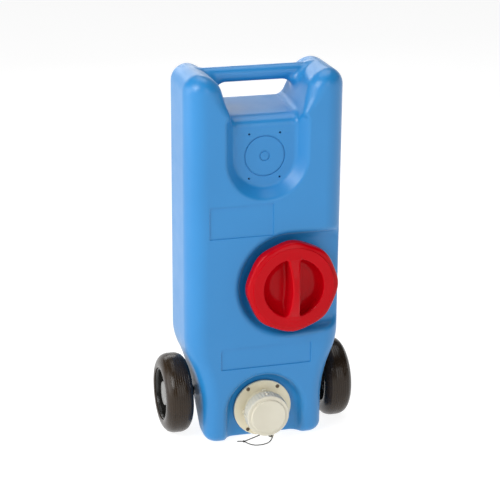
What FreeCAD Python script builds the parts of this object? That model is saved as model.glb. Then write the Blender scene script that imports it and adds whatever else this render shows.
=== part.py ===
import FreeCAD, Part
import math
import os
from FreeCAD import Vector

# Portable waste tote, in millimetres. +Z is up, the front with the caps faces -Y,
# and the origin lies on the floor under the middle of the whole object.

# Tank block
tank_width = 294.0
tank_depth = 157.0
tank_height = 700.0
tank_mid_y = 15.15
wall = 3.0
corner_r = 38.0
top_round_r = 30.0

# Feet, and the flare from the feet up to the full width
foot_width = 228.0
foot_corner_r = 26.0
foot_round_r = 20.0
flare_bottom_z = 62.0
flare_angle = 25.0
foot_back_y = tank_mid_y - 24.0
tilt_angle = 45.0

# Gap between the horns, and the handle bar across it
gap_ledge_z = 618.0
gap_ledge_rise = 10.0
gap_half_low = 64.0
gap_half_high = 88.0
ledge_round_r = 22.0
handle_z = 682.0
handle_y = tank_mid_y + 20.0
handle_r = 14.0
handle_half_length = 92.0

# U-shaped recess under the handle
u_centre_z = 548.0
u_half_front = 76.6
u_half_floor = 58.5
u_depth = 22.0
u_run_up = 12.0

# Scoop and neck for the filler cap
filler_x = 46.0
filler_z = 306.0
scoop_r = 99.5
scoop_floor_r = 90.5
scoop_depth = 22.0
scoop_side_rise = 12.0
neck_outer_r = 68.0
neck_inner_r = 62.0
neck_reach = 15.0

# Filler cap
cap_reach = 22.0
cap_back = 0.5
cap_shoulder_reach = 18.5
cap_bevel = 3.0
cap_lobe_r = 86.7
cap_valley_r = 83.7
cap_lobes = 8
cap_dish_r = 57.0
cap_dish_depth = 27.0
cap_wall = 3.0
cap_front_wall = 4.0
cap_pocket_step = 2.0
cap_bore_r = 70.5
grip_end_width = 26.0
grip_waist_width = 14.5
grip_bow = 17.0

# Outlet arch, flange and spigot
outlet_z = 57.0
arch_r = 76.0
arch_floor_r = 66.0
arch_depth = 25.0
gasket_thick = 2.0
gasket_r = 54.5
flange_r = 55.5
flange_thick = 5.0
spigot_r = 34.0
spigot_bore_r = 29.5
spigot_reach = 15.0
hose_lug_r = 41.0
hose_lug_width = 8.0
hose_lug_place = 8.0
cap_lug_r = 36.3
cap_lug_width = 9.0
cap_lug_place = -11.0
lug_thick = 5.0
root = 2.0
outlet_hole_r = 30.0

# Screws of the flange; the same pattern is moulded on the floor of the U recess
screw_pitch_x = 57.0
screw_pitch_z = 82.0
screw_r = 1.9
screw_length = 14.0
screw_head_r = 3.8
screw_head_thick = 2.2
screw_hole_r = 2.2
slot_half = 0.5
slot_depth = 1.0
cross_share = 0.6
pilot_r = 1.95
pilot_depth = 9.0
boss_r = 6.0
blank_ring_r = 36.9
blank_ring_width = 1.4
blank_ring_depth = 0.8

# Outlet cap and its cord
outlet_cap_r = 41.0
outlet_cap_face_r = 34.5
outlet_cap_reach = 24.7
outlet_cap_shoulder = 13.0
outlet_cap_back = -1.0
outlet_cap_bore_r = 36.9
seal_thick = 3.0
outlet_seal_r = 35.0
tab_angle = -78.0
tab_reach = 9.0
tab_width = 8.0
tab_thick = 4.0
tab_hole_r = 1.8
ring_gap = 2.8
ring_wall = 3.0
ring_front = 1.0
block_half = 3.0
block_reach = 6.0
block_angle = -8.0
cord_d = 2.0
cord_floor_gap = 0.1
cord_bend_share = 0.45

# Wheels and axle
axle_y = tank_mid_y + 11.7
axle_r = 6.0
running_gap = 0.06
wheel_x = 154.7
wheel_r = 75.5
tyre_width = 52.0
tyre_shoulder_r = 21.6
tyre_wall = 6.0
bead_r = 49.0
axle_half_length = 171.0
tunnel_wall = 4.0
spacer_r = 10.0
hub_inner_x = 132.5
hub_r = 22.0
hub_wall = 4.0
rim_inset = 3.0
rim_wall = 4.0
web_place = 2.0
web_thick = 5.0
bush_r = 10.0
pocket_x = wheel_x + 10.0
boss_x = wheel_x + 17.0
spacer_gap = 0.5
leg_clearance = 2.0

# Washer and push nut on each end of the axle, and the cap over them
washer_r = 11.0
washer_thick = 1.5
washer_gap = 0.3
push_nut_place = 2.0
push_nut_disc = 1.0
push_nut_collar = 2.0
push_nut_collar_r = 7.5
hub_cap_r = 22.5
hub_cap_edge = 1.5
hub_cap_shoulder = 3.0
hub_cap_shoulder_r = 19.0
hub_cap_dome = 4.0
hub_cap_lip_depth = 4.0
hub_cap_lip_outer_r = 17.95
hub_cap_lip_inner_r = 16.0

front_y = tank_mid_y - tank_depth / 2
rear_y = tank_mid_y + tank_depth / 2
axle_z = wheel_r
leg_half = foot_width / 2

# How far cutting solids run past the faces that they cut
over = 1.0
margin = 20.0
far = 200.0


def box(x0, x1, y0, y1, z0, z1):
    return Part.makeBox(x1 - x0, y1 - y0, z1 - z0, Vector(x0, y0, z0))


def disc_y(radius, y0, y1, x=0.0, z=outlet_z):
    """Round solid along Y, from y0 forward or back to y1."""
    low, high = min(y0, y1), max(y0, y1)
    return Part.makeCylinder(radius, high - low, Vector(x, low, z), Vector(0, 1, 0))


def ring_y(outer_r, inner_r, y0, y1, x=0.0, z=outlet_z):
    return disc_y(outer_r, y0, y1, x, z).cut(disc_y(inner_r, y0, y1, x, z))


def rod_x(radius, x0, x1, y=axle_y, z=axle_z):
    low, high = min(x0, x1), max(x0, x1)
    return Part.makeCylinder(radius, high - low, Vector(low, y, z), Vector(1, 0, 0))


def ring_x(outer_r, inner_r, x0, x1):
    return rod_x(outer_r, x0, x1).cut(rod_x(inner_r, x0, x1))


def polygon_prism(points, sweep):
    wire = Part.makePolygon(points + [points[0]])
    return Part.Face(wire).extrude(sweep)


def rounded_rectangle(half_x, half_y, radius, z):
    """Closed wire of four sides and four corner arcs, level at z."""
    edges = []
    corners = [(1, 1, 0), (-1, 1, 90), (-1, -1, 180), (1, -1, 270)]
    points = []
    for sign_x, sign_y, start in corners:
        centre = Vector(sign_x * (half_x - radius), tank_mid_y + sign_y * (half_y - radius), z)
        arc = [centre + Vector(radius * math.cos(a), radius * math.sin(a), 0)
               for a in (math.radians(start + step) for step in (0, 45, 90))]
        points.append(arc)
    for index, arc in enumerate(points):
        edges.append(Part.Arc(*arc).toShape())
        following = points[(index + 1) % len(points)][0]
        edges.append(Part.LineSegment(arc[2], following).toShape())
    return Part.Wire(edges)


def level_edges(shape, z):
    """Edges of a shape that lie level at one height."""
    return [e for e in shape.Edges if abs(e.BoundBox.ZMin - z) < 0.01 and abs(e.BoundBox.ZMax - z) < 0.01]


def flare_heights():
    """Height where the flare ends, and its two arc radii."""
    widening = tank_width / 2 - leg_half
    angle = math.radians(flare_angle)
    radius_sum = widening / (1 - math.cos(angle))
    lower_r = radius_sum * 2 / 3
    return flare_bottom_z + radius_sum * math.sin(angle), lower_r, radius_sum - lower_r


def half_width_at(z):
    """Half width of the tank at a height in the flare: a hollow arc, then a full one."""
    top_z, lower_r, upper_r = flare_heights()
    angle = math.radians(flare_angle)
    if z < flare_bottom_z + lower_r * math.sin(angle):
        return leg_half + lower_r - math.sqrt(lower_r ** 2 - (z - flare_bottom_z) ** 2)
    return tank_width / 2 - upper_r + math.sqrt(upper_r ** 2 - (top_z - z) ** 2)


def tank_block(inset):
    """Tank without its recesses, drawn in by inset all round."""
    half_y = tank_depth / 2 - inset
    flare_top_z = flare_heights()[0]
    upper_wire = rounded_rectangle(tank_width / 2 - inset, half_y, corner_r - inset, flare_top_z)
    upper = Part.Face(upper_wire).extrude(Vector(0, 0, tank_height - inset - flare_top_z))
    upper = upper.makeFillet(top_round_r - inset, level_edges(upper, tank_height - inset))
    foot_wire = rounded_rectangle(leg_half - inset, half_y, foot_corner_r - inset, inset)
    foot = Part.Face(foot_wire).extrude(Vector(0, 0, flare_bottom_z - inset))
    foot = foot.makeFillet(foot_round_r - inset, level_edges(foot, inset))
    sections = []
    steps = 8
    for step in range(steps + 1):
        share = step / steps
        z = flare_bottom_z + share * (flare_top_z - flare_bottom_z)
        radius = foot_corner_r + share * (corner_r - foot_corner_r)
        sections.append(rounded_rectangle(half_width_at(z) - inset, half_y, radius - inset, z))
    flare = Part.makeLoft(sections, True, False)
    return foot.fuse(flare).fuse(upper).removeSplitter()


def tilt_cut(inset):
    """Wedge under the rear, which leaves room to tip the tank back on its wheels."""
    angle = math.radians(tilt_angle)
    along = Vector(0, math.cos(angle), math.sin(angle))
    start = Vector(-far, foot_back_y - inset * math.sin(angle), inset * math.cos(angle))
    low = start - along * far
    high = start + along * far
    corner = Vector(-far, high.y, low.z)
    return polygon_prism([low, high, corner], Vector(2 * far, 0, 0))


def u_wire(half, y):
    top = gap_ledge_z + u_run_up
    left = Part.LineSegment(Vector(-half, y, top), Vector(-half, y, u_centre_z)).toShape()
    bottom = Part.Arc(Vector(-half, y, u_centre_z), Vector(0, y, u_centre_z - half),
                      Vector(half, y, u_centre_z)).toShape()
    right = Part.LineSegment(Vector(half, y, u_centre_z), Vector(half, y, top)).toShape()
    lid = Part.LineSegment(Vector(half, y, top), Vector(-half, y, top)).toShape()
    return Part.Wire([left, bottom, right, lid])


def tapered(wire_at, front_size, floor_size, depth, inset):
    """Solid between a wire just in front of the tank and one on the recess floor."""
    slope = (front_size - floor_size) / depth
    lead = 2.0
    front = wire_at(front_size + slope * lead + inset, front_y - lead)
    floor = wire_at(floor_size + inset, front_y + depth + inset)
    return Part.makeLoft([front, floor], True, True)


def gap_cut(inset):
    """Space between the horns, over a ledge whose front edge is rounded."""
    low_z = gap_ledge_z - margin
    high_z = tank_height + margin
    slope = (gap_half_high - gap_half_low) / (tank_height - gap_ledge_z)
    low_half = gap_half_low + slope * (low_z - gap_ledge_z) + inset
    high_half = gap_half_low + slope * (high_z - gap_ledge_z) + inset
    corners = [Vector(-low_half, -far, low_z), Vector(low_half, -far, low_z),
               Vector(high_half, -far, high_z), Vector(-high_half, -far, high_z)]
    across = polygon_prism(corners, Vector(0, 2 * far, 0))
    floor_y = front_y + u_depth + inset
    ledge_z = gap_ledge_z - inset
    rear_z = ledge_z + gap_ledge_rise
    round_y = floor_y + ledge_round_r
    round_z = ledge_z - ledge_round_r
    mid = ledge_round_r * (1 - math.sqrt(0.5))
    low_end = Vector(-far, floor_y, round_z)
    high_end = Vector(-far, round_y, ledge_z)
    arc = Part.Arc(low_end, Vector(-far, floor_y + mid, ledge_z - mid), high_end).toShape()
    outline = [high_end, Vector(-far, rear_y, rear_z), Vector(-far, rear_y + margin, rear_z),
               Vector(-far, rear_y + margin, high_z), Vector(-far, front_y - margin, high_z),
               Vector(-far, front_y - margin, round_z), low_end]
    sides = Part.makePolygon(outline).Edges
    profile = Part.Face(Part.Wire([arc] + sides)).extrude(Vector(2 * far, 0, 0))
    return across.common(profile)


def scoop_wire(radius, y):
    """Half circle to the left, open to the right-hand side of the tank."""
    top = Vector(filler_x, y, filler_z + radius)
    bottom = Vector(filler_x, y, filler_z - radius)
    left = Vector(filler_x - radius, y, filler_z)
    side_low = Vector(far, y, filler_z - radius + scoop_side_rise)
    side_high = Vector(far, y, filler_z + radius)
    edges = [Part.Arc(top, left, bottom).toShape()]
    for start, end in ((bottom, side_low), (side_low, side_high), (side_high, top)):
        edges.append(Part.LineSegment(start, end).toShape())
    return Part.Wire(edges)


def arch_wire(radius, y):
    left = Vector(-radius, y, outlet_z)
    right = Vector(radius, y, outlet_z)
    low_left = Vector(-radius, y, -far)
    low_right = Vector(radius, y, -far)
    edges = [Part.Arc(left, Vector(0, y, outlet_z + radius), right).toShape()]
    for start, end in ((right, low_right), (low_right, low_left), (low_left, left)):
        edges.append(Part.LineSegment(start, end).toShape())
    return Part.Wire(edges)


def tank_form(inset):
    """Outside of the tank, or the space inside its wall when inset is the wall."""
    form = tank_block(inset)
    form = form.cut(tilt_cut(inset))
    form = form.cut(tapered(u_wire, u_half_front, u_half_floor, u_depth, inset))
    form = form.cut(gap_cut(inset))
    form = form.cut(tapered(scoop_wire, scoop_r, scoop_floor_r, scoop_depth, inset))
    form = form.cut(tapered(arch_wire, arch_r, arch_floor_r, arch_depth, inset))
    return form


def screw_places(centre_z):
    return [(sx * screw_pitch_x / 2, centre_z + sz * screw_pitch_z / 2) for sx in (-1, 1) for sz in (-1, 1)]


def tank_body():
    cavity = tank_form(wall)
    shell = tank_form(0.0).cut(cavity)
    print("tank holds", round(cavity.Volume / 1e6, 1), "litres to the brim")
    scoop_floor_y = front_y + scoop_depth
    neck_y = front_y - neck_reach
    arch_floor_y = front_y + arch_depth
    u_floor_y = front_y + u_depth
    leg_x = half_width_at(axle_z)
    shell = shell.fuse(rod_x(handle_r, -handle_half_length, handle_half_length, handle_y, handle_z))
    shell = shell.cut(rod_x(handle_r - wall, -handle_half_length - over, handle_half_length + over,
                            handle_y, handle_z))
    shell = shell.fuse(disc_y(neck_outer_r, neck_y, scoop_floor_y + wall, filler_x, filler_z))
    shell = shell.cut(disc_y(neck_inner_r, neck_y - over, scoop_floor_y + wall + over, filler_x, filler_z))
    shell = shell.fuse(rod_x(axle_r + tunnel_wall, -leg_x + wall / 2, leg_x - wall / 2))
    shell = shell.cut(rod_x(axle_r + running_gap, -far, far))
    shell = shell.cut(disc_y(outlet_hole_r, arch_floor_y - over, arch_floor_y + wall + over))
    for floor_y, centre_z in ((arch_floor_y, outlet_z), (u_floor_y, u_centre_z)):
        for x, z in screw_places(centre_z):
            shell = shell.fuse(disc_y(boss_r, floor_y + wall / 2, floor_y + pilot_depth + wall, x, z))
            shell = shell.cut(disc_y(pilot_r, floor_y - over, floor_y + pilot_depth, x, z))
    half = blank_ring_width / 2
    groove = ring_y(blank_ring_r + half, blank_ring_r - half, u_floor_y - over,
                    u_floor_y + blank_ring_depth, 0.0, u_centre_z)
    return shell.cut(groove)


def lobed_wire(lobe_r, valley_r, y):
    """Round outline with a lobe every eighth of a turn, one of them at the top."""
    joint_r = (lobe_r + valley_r) / 2
    pitch = 360.0 / cap_lobes

    def point(radius, degrees):
        angle = math.radians(degrees)
        return Vector(filler_x + radius * math.sin(angle), y, filler_z + radius * math.cos(angle))

    edges = []
    for index in range(cap_lobes):
        start = (index - 0.25) * pitch
        lobe = [point(joint_r, start), point(lobe_r, start + pitch / 4), point(joint_r, start + pitch / 2)]
        valley = [lobe[2], point(valley_r, start + pitch * 3 / 4), point(joint_r, start + pitch)]
        edges.append(Part.Arc(*lobe).toShape())
        edges.append(Part.Arc(*valley).toShape())
    return Part.Wire(edges)


def grip_wall(face_y, floor_y):
    """Upright grip across the dish, narrow at its waist and bowed out past the cap's face."""
    half_end = grip_end_width / 2
    half_waist = grip_waist_width / 2
    half_height = cap_dish_r + over
    crown_y = face_y - grip_bow
    corners = [Vector(filler_x + sx * half_end, crown_y, filler_z + sz * half_height)
               for sx, sz in ((-1, 1), (-1, -1), (1, -1), (1, 1))]
    left = Part.Arc(corners[0], Vector(filler_x - half_waist, crown_y, filler_z), corners[1]).toShape()
    low = Part.LineSegment(corners[1], corners[2]).toShape()
    right = Part.Arc(corners[2], Vector(filler_x + half_waist, crown_y, filler_z), corners[3]).toShape()
    high = Part.LineSegment(corners[3], corners[0]).toShape()
    waisted = Part.Face(Part.Wire([left, low, right, high])).extrude(Vector(0, floor_y - crown_y, 0))
    side_x = filler_x - half_end - over
    ends = [Vector(side_x, face_y, filler_z + half_height), Vector(side_x, face_y, filler_z - half_height)]
    crown = Part.Arc(ends[0], Vector(side_x, crown_y, filler_z), ends[1]).toShape()
    foot = [Vector(side_x, floor_y, filler_z - half_height), Vector(side_x, floor_y, filler_z + half_height)]
    sides = Part.makePolygon([ends[1], foot[0], foot[1], ends[0]]).Edges
    bowed = Part.Face(Part.Wire([crown] + sides)).extrude(Vector(grip_end_width + 2 * over, 0, 0))
    dish = disc_y(half_height, crown_y, floor_y, filler_x, filler_z)
    return waisted.common(bowed).common(dish)


def filler_cap():
    face_y = front_y - cap_reach
    shoulder_y = front_y - cap_shoulder_reach
    back_y = front_y + cap_back
    channel_y = face_y + cap_front_wall
    dish_y = face_y + cap_dish_depth
    front_wire = lobed_wire(cap_lobe_r - cap_bevel, cap_valley_r - cap_bevel, face_y)
    shoulder_wire = lobed_wire(cap_lobe_r, cap_valley_r, shoulder_y)
    shoulder = Part.makeLoft([front_wire, shoulder_wire], True, True)
    skirt = Part.Face(shoulder_wire).extrude(Vector(0, back_y - shoulder_y, 0))
    bore = disc_y(cap_bore_r, channel_y, back_y + over, filler_x, filler_z)
    cup = disc_y(cap_dish_r + cap_wall, channel_y, dish_y + cap_wall, filler_x, filler_z)
    dish = disc_y(cap_dish_r, face_y - over, dish_y, filler_x, filler_z)
    pocket_wire = lobed_wire(cap_lobe_r - cap_front_wall, cap_valley_r - cap_front_wall,
                             shoulder_y + cap_pocket_step)
    pocket = Part.Face(pocket_wire).extrude(Vector(0, back_y - shoulder_y, 0))
    pocket = pocket.cut(disc_y(cap_bore_r + cap_wall, shoulder_y, back_y + margin, filler_x, filler_z))
    cap = shoulder.fuse(skirt).cut(bore).cut(pocket).fuse(cup).cut(dish)
    return cap.fuse(grip_wall(face_y, dish_y + over)).removeSplitter()


def filler_cap_seal():
    channel_y = front_y - cap_reach + cap_front_wall
    return ring_y(neck_outer_r, neck_inner_r, channel_y, front_y - neck_reach, filler_x, filler_z)


def turned(shape, degrees):
    """Shape turned about the outlet's axis, counter-clockwise as the front shows it."""
    copy = shape.copy()
    copy.rotate(Vector(0, 0, outlet_z), Vector(0, -1, 0), degrees)
    return copy


def outlet_gasket():
    back = front_y + arch_depth
    gasket = ring_y(gasket_r, outlet_hole_r, back - gasket_thick, back)
    for x, z in screw_places(outlet_z):
        gasket = gasket.cut(disc_y(screw_hole_r, back - gasket_thick - over, back + over, x, z))
    return gasket


def spigot_lug(top_r, width, place):
    """Lug on top of the spigot, with its front face at this distance behind the tank's front."""
    return box(-width / 2, width / 2, front_y + place, front_y + place + lug_thick,
               outlet_z + spigot_r - root, outlet_z + top_r)


def outlet_flange():
    back = front_y + arch_depth - gasket_thick
    face = back - flange_thick
    mouth = front_y - spigot_reach
    flange = disc_y(flange_r, face, back).fuse(disc_y(spigot_r, mouth, face))
    for index in range(4):
        flange = flange.fuse(turned(spigot_lug(hose_lug_r, hose_lug_width, hose_lug_place), 90 * index))
        flange = flange.fuse(turned(spigot_lug(cap_lug_r, cap_lug_width, cap_lug_place), 45 + 90 * index))
    flange = flange.cut(disc_y(spigot_bore_r, mouth - over, back + over))
    for x, z in screw_places(outlet_z):
        flange = flange.cut(disc_y(screw_hole_r, face - over, back + over, x, z))
    return flange.removeSplitter()


def outlet_screws():
    face = front_y + arch_depth - gasket_thick - flange_thick
    top = face - screw_head_thick
    screws = []
    for x, z in screw_places(outlet_z):
        shank = disc_y(screw_r, face, face + screw_length, x, z)
        head = disc_y(screw_head_r, top, face, x, z)
        slot = box(x - screw_head_r, x + screw_head_r, top, top + slot_depth, z - slot_half, z + slot_half)
        cross = box(x - slot_half, x + slot_half, top, top + slot_depth,
                    z - screw_head_r * cross_share, z + screw_head_r * cross_share)
        screws.append(head.fuse(shank).cut(slot).cut(cross))
    return Part.makeCompound(screws)


def outlet_cap():
    face = front_y - outlet_cap_reach
    shoulder = front_y - outlet_cap_shoulder
    back = front_y + outlet_cap_back
    inside = front_y - spigot_reach - seal_thick
    nose = Part.makeCone(outlet_cap_face_r, outlet_cap_r, shoulder - face, Vector(0, face, outlet_z),
                         Vector(0, 1, 0))
    cap = nose.fuse(disc_y(outlet_cap_r, shoulder, back))
    tab = box(-tab_width / 2, tab_width / 2, shoulder, shoulder + tab_thick,
              outlet_z + outlet_cap_r - root, outlet_z + outlet_cap_r + tab_reach - tab_width / 2)
    tab_z = outlet_z + outlet_cap_r + tab_reach - tab_width / 2
    tab = tab.fuse(disc_y(tab_width / 2, shoulder, shoulder + tab_thick, 0.0, tab_z))
    tab = tab.cut(disc_y(tab_hole_r, shoulder - over, shoulder + tab_thick + over, 0.0, tab_z))
    cap = cap.fuse(turned(tab, tab_angle - 90))
    return cap.cut(disc_y(outlet_cap_bore_r, inside, back + over)).removeSplitter()


def outlet_cap_seal():
    mouth = front_y - spigot_reach
    return ring_y(outlet_seal_r, spigot_bore_r, mouth - seal_thick, mouth)


def tether_ring():
    """Loose ring on the spigot, with a small block that the cord is tied into."""
    front = front_y + ring_front
    inner = spigot_r + ring_gap
    block = box(-block_half, block_half, front, front + ring_wall,
                outlet_z - inner - block_reach, outlet_z - inner - over)
    ring = ring_y(inner + ring_wall, inner, front, front + ring_wall)
    return ring.fuse(turned(block, block_angle))


def axle():
    return rod_x(axle_r, -axle_half_length, axle_half_length)


def revolved_about_axle(edges):
    face = Part.Face(Part.Wire(edges))
    return face.revolve(Vector(0, axle_y, axle_z), Vector(1, 0, 0), 360)


def outline(points):
    """Closed line through points given as distance along X and radius from the axle."""
    places = [Vector(x, axle_y, axle_z + radius) for x, radius in points]
    return Part.makePolygon(places + [places[0]]).Edges


def tyre():
    """Right-hand tyre: an arch with round shoulders, hollow and open towards the rim."""
    outer = wheel_x + tyre_width / 2
    inner = wheel_x - tyre_width / 2
    centre_r = wheel_r - tyre_shoulder_r

    def place(x, radius):
        return Vector(x, axle_y, axle_z + radius)

    def arch(inset):
        """Points and edges of the arch, drawn in from the tread by inset."""
        radius = tyre_shoulder_r - inset
        tread_r = wheel_r - inset
        diagonal = radius * math.sqrt(0.5)
        left_x = inner + tyre_shoulder_r
        right_x = outer - tyre_shoulder_r
        ends = [place(inner + inset, bead_r), place(outer - inset, bead_r)]
        sides = [place(inner + inset, centre_r), place(outer - inset, centre_r)]
        treads = [place(left_x, tread_r), place(right_x, tread_r)]
        left_arc = Part.Arc(sides[0], place(left_x - diagonal, centre_r + diagonal), treads[0])
        right_arc = Part.Arc(treads[1], place(right_x + diagonal, centre_r + diagonal), sides[1])
        lines = [Part.LineSegment(ends[0], sides[0]), Part.LineSegment(treads[0], treads[1]),
                 Part.LineSegment(sides[1], ends[1])]
        return ends, [curve.toShape() for curve in [left_arc, right_arc] + lines]

    outer_ends, outer_edges = arch(0.0)
    inner_ends, inner_edges = arch(tyre_wall)
    feet = [Part.LineSegment(a, b).toShape() for a, b in zip(outer_ends, inner_ends)]
    edges = Part.__sortEdges__(outer_edges + inner_edges + feet)
    return revolved_about_axle(edges)


def rim():
    """Right-hand rim: barrel, web and a boss with a pocket for the axle's end."""
    half = tyre_width / 2
    outer = wheel_x + half - rim_inset
    inner = wheel_x - half + rim_inset
    barrel_r = bead_r - rim_wall
    web_out = wheel_x + web_place
    web_in = web_out - web_thick
    pocket_r = hub_r - hub_wall
    points = [(outer, bead_r), (outer, barrel_r), (web_out, barrel_r), (web_out, hub_r), (boss_x, hub_r),
              (boss_x, pocket_r), (pocket_x, pocket_r), (pocket_x, bush_r), (hub_inner_x, bush_r),
              (hub_inner_x, pocket_r), (web_in, pocket_r), (web_in, barrel_r), (inner, barrel_r),
              (inner, bead_r)]
    return revolved_about_axle(outline(points))


def hub_bush():
    return ring_x(bush_r, axle_r + running_gap, hub_inner_x, pocket_x)


def hub_cap():
    """Right-hand disc over the axle's end: a low dome with a lip inside the boss."""
    lip_x = boss_x - hub_cap_lip_depth
    points = [(boss_x, 0), (boss_x, hub_cap_lip_inner_r), (lip_x, hub_cap_lip_inner_r),
              (lip_x, hub_cap_lip_outer_r), (boss_x, hub_cap_lip_outer_r), (boss_x, hub_cap_r),
              (boss_x + hub_cap_edge, hub_cap_r), (boss_x + hub_cap_shoulder, hub_cap_shoulder_r),
              (boss_x + hub_cap_dome, 0)]
    return revolved_about_axle(outline(points))


def washer():
    start = pocket_x + washer_gap
    return ring_x(washer_r, axle_r + running_gap, start, start + washer_thick)


def push_nut():
    """Right-hand spring nut: a thin dished disc that grips the axle."""
    start = pocket_x + push_nut_place
    collar_start = start + push_nut_disc
    disc = ring_x(washer_r, axle_r, start, collar_start)
    return disc.fuse(ring_x(push_nut_collar_r, axle_r, collar_start, collar_start + push_nut_collar))


def axle_spacer():
    leg_x = half_width_at(axle_z) + leg_clearance
    return ring_x(spacer_r, axle_r + running_gap, leg_x, hub_inner_x - spacer_gap)


def mirrored(shape):
    return shape.mirror(Vector(0, 0, 0), Vector(1, 0, 0))


def cord_tube(points, diameter):
    """Tube along straight runs joined by tangent arcs, each as large as its runs allow."""
    edges = []
    start = points[0]
    radii = []
    for before, corner, after in zip(points, points[1:], points[2:]):
        towards = (corner - before).normalize()
        away = (after - corner).normalize()
        half_turn = towards.getAngle(away) / 2
        shorter = min((corner - before).Length, (after - corner).Length)
        setback = cord_bend_share * shorter
        radius = setback / math.tan(half_turn)
        radii.append(round(radius, 1))
        first = corner - towards * setback
        last = corner + away * setback
        inward = (away - towards).normalize()
        middle = corner + inward * (radius / math.cos(half_turn) - radius)
        edges.append(Part.LineSegment(start, first).toShape())
        edges.append(Part.Arc(first, middle, last).toShape())
        start = last
    edges.append(Part.LineSegment(start, points[-1]).toShape())
    path = Part.Wire(edges)
    heading = points[1] - points[0]
    circle = Part.Wire(Part.makeCircle(diameter / 2, points[0], heading))
    tube = path.makePipeShell([circle], True, False)
    expected = math.pi * diameter ** 2 / 4 * path.Length
    print("cord of", round(path.Length, 1), "mm, radii", radii, "volume ratio",
          round(tube.Volume / expected, 4))
    return tube


# Cord routes: the rear strand runs from the tether ring to the crimp, and the front
# strand from the outlet cap's tab through the crimp to its cut end
floor_cord_z = cord_d / 2 + cord_floor_gap
crimp_r = 2.1
crimp_place = Vector(-42.0, front_y - 2.5, crimp_r)
rear_cord_route = [
    Vector(-5.96, front_y + 2.5, 14.62), Vector(-7.6, front_y + 3.0, 9.4),
    Vector(-13.4, front_y + 5.2, 5.9), Vector(-19.6, front_y + 7.0, 3.0),
    Vector(-26.8, front_y + 6.4, floor_cord_z), Vector(-34.2, front_y + 2.6, floor_cord_z),
    Vector(-40.6, front_y - 1.8, 1.9),
]
front_cord_route = [
    Vector(10.4, front_y - 11.5, 6.8), Vector(8.0, front_y - 14.1, 3.2),
    Vector(0.0, front_y - 19.1, floor_cord_z), Vector(-12.0, front_y - 23.1, floor_cord_z),
    Vector(-26.0, front_y - 22.1, floor_cord_z), Vector(-35.6, front_y - 12.9, floor_cord_z),
    Vector(-40.6, front_y - 3.1, 2.0), Vector(-46.8, front_y + 0.5, 1.7),
    Vector(-53.5, front_y + 2.5, floor_cord_z),
]


def cord_crimp():
    return Part.makeSphere(crimp_r, crimp_place)


def build():
    parts = {
        "tank_body": tank_body(),
        "filler_cap": filler_cap(),
        "filler_cap_seal": filler_cap_seal(),
        "outlet_gasket": outlet_gasket(),
        "outlet_flange": outlet_flange(),
        "outlet_screws": outlet_screws(),
        "outlet_cap": outlet_cap(),
        "outlet_cap_seal": outlet_cap_seal(),
        "tether_ring": tether_ring(),
        "rear_cord": cord_tube(rear_cord_route, cord_d),
        "front_cord": cord_tube(front_cord_route, cord_d),
        "cord_crimp": cord_crimp(),
        "axle": axle(),
    }
    right_side = {
        "tyre": tyre(),
        "rim": rim(),
        "hub_bush": hub_bush(),
        "hub_cap": hub_cap(),
        "washer": washer(),
        "push_nut": push_nut(),
        "axle_spacer": axle_spacer(),
    }
    for name, shape in right_side.items():
        parts["right_" + name] = shape
        parts["left_" + name] = mirrored(shape)
    return parts


os.makedirs("parts", exist_ok=True)
for node, solid in build().items():
    print(node, solid.ShapeType, "valid" if solid.isValid() else "NOT VALID", len(solid.Solids),
          round(solid.Volume / 1000, 2), "cm3")
    solid.exportStep("parts/" + node + ".step")
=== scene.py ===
import itertools
import math
import bmesh
import bpy
import numpy as np
from mathutils import Matrix, Vector


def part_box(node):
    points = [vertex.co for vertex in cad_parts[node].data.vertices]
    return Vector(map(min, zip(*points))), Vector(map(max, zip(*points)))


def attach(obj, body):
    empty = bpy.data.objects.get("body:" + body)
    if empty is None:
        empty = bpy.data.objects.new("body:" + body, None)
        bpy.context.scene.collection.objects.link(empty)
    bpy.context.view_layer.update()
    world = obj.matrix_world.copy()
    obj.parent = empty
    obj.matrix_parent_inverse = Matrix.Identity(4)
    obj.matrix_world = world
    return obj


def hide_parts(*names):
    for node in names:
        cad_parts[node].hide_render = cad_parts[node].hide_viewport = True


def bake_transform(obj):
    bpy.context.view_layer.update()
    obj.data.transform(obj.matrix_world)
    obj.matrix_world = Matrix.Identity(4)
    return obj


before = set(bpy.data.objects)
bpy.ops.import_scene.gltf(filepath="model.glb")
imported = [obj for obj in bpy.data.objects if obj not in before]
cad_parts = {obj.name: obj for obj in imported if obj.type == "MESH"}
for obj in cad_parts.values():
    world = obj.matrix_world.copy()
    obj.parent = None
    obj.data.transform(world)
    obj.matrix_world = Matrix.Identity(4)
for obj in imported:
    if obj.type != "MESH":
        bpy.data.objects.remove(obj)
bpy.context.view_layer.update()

# Places and sizes in metres. +Z is up and the front with the caps faces -Y.
tank_low, tank_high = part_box("tank_body")
tank_width = tank_high.x - tank_low.x
tank_height = tank_high.z
tank_depth = 0.157
rear_y = tank_high.y
front_y = rear_y - tank_depth
tank_mid_y = rear_y - tank_depth / 2

corner_r = 0.038
top_round_r = 0.030
leg_half = 0.114
foot_corner_r = 0.026
foot_round_r = 0.020
flare_bottom_z = 0.062
flare_angle = math.radians(25)
foot_back_y = tank_mid_y - 0.024
tilt_round_r = 0.018

gap_ledge_z = 0.618
gap_ledge_rise = 0.010
gap_half_low = 0.064
gap_half_high = 0.088
gap_corner_r = 0.010
gap_edge_heights = (gap_ledge_z + 0.010, gap_ledge_z + 0.035, tank_height)
gap_edge_radii = (0.012, 0.025, 0.032)
gap_floor_drop = 0.025
ledge_round_r = 0.040
ramp_depth = 0.0265
ramp_run_on = 0.004
ramp_lean = 0.9
crease_r = 0.007
handle_z = 0.682
handle_y = tank_mid_y + 0.020
handle_r = 0.014
handle_half = 0.108
handle_fillet_low = 0.026
handle_fillet_high = 0.006

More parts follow.
